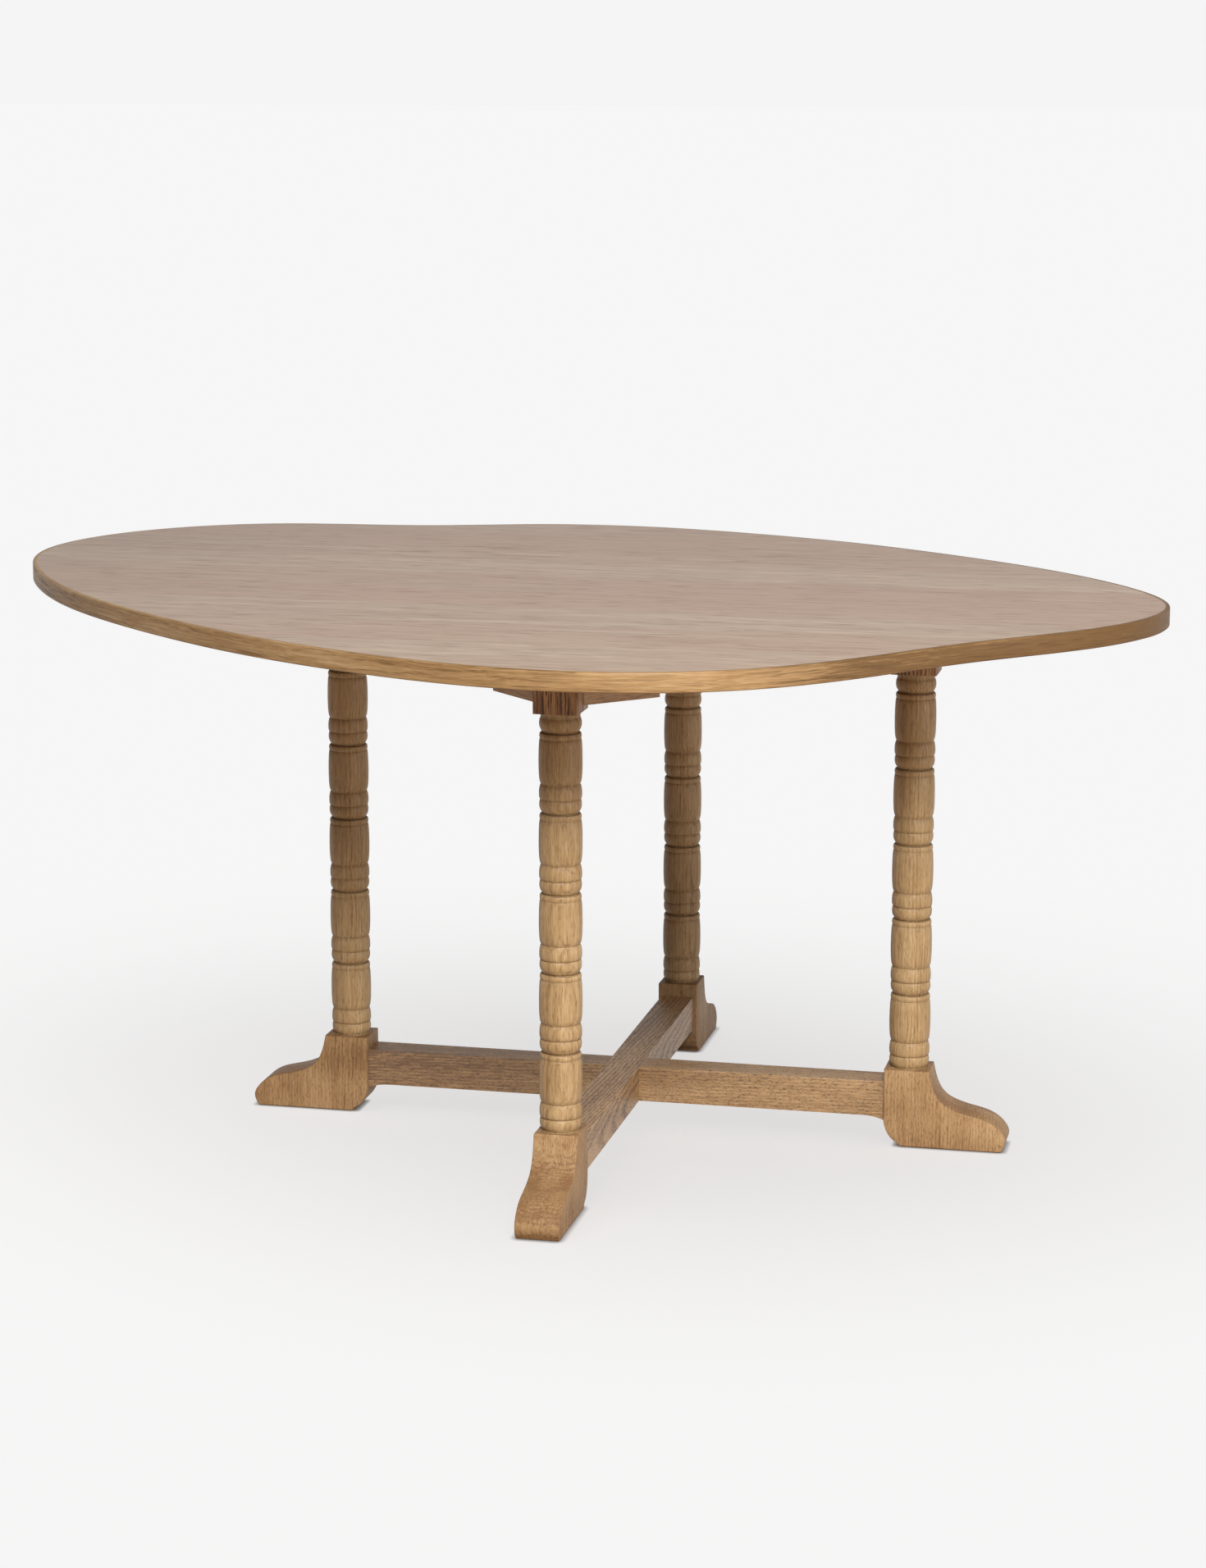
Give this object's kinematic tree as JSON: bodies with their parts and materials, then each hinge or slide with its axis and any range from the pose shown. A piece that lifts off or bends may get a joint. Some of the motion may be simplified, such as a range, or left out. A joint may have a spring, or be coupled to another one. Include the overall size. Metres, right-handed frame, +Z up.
{
  "type": "dining table",
  "caption": "Oak dining table with a wavy-edged veneered top on turned legs, block feet and crossed floor stretchers.",
  "frame": {"origin": "on the floor, midway between the four legs, where the stretchers cross", "axes": "+Z up; +X towards the right leg and +Y towards the far leg, so the two stretchers lie along X and Y; the near leg stands on -Y, the side seen in front"},
  "size_m": [1.6771, 1.3835, 0.762],
  "materials": {
    "core_board": "raw board",
    "top_veneer": "satin lacquer over pale oak veneer",
    "under_veneer": "sealed balancing veneer",
    "lipping_oak": "satin lacquer over solid oak",
    "leg_oak": "satin lacquer over turned oak",
    "foot_oak": "satin lacquer over solid oak",
    "rail_oak": "satin lacquer over solid oak",
    "bolt_steel": "zinc plated",
    "insert_brass": "machined",
    "dowel_beech": "raw fluted dowel",
    "screw_steel": "yellow zinc plated"
  },
  "bodies": {
    "root": {"top_core": "core_board", "top_veneer": "top_veneer", "underside_veneer": "under_veneer", "lipping_far": "lipping_oak", "lipping_left": "lipping_oak", "lipping_near": "lipping_oak", "lipping_right": "lipping_oak", "leg_right": "leg_oak", "leg_far": "leg_oak", "leg_left": "leg_oak", "leg_near": "leg_oak", "foot_right": "foot_oak", "foot_far": "foot_oak", "foot_left": "foot_oak", "foot_near": "foot_oak", "stretcher_long": "rail_oak", "stretcher_cross": "rail_oak", "rail_far_right": "rail_oak", "rail_far_left": "rail_oak", "rail_near_left": "rail_oak", "rail_near_right": "rail_oak", "leg_bolts": "bolt_steel", "bolt_washers": "bolt_steel", "leg_inserts": "insert_brass", "rail_dowels": "dowel_beech", "top_screws": "screw_steel", "lap_screws": "screw_steel"}
  },
  "joints": []
}
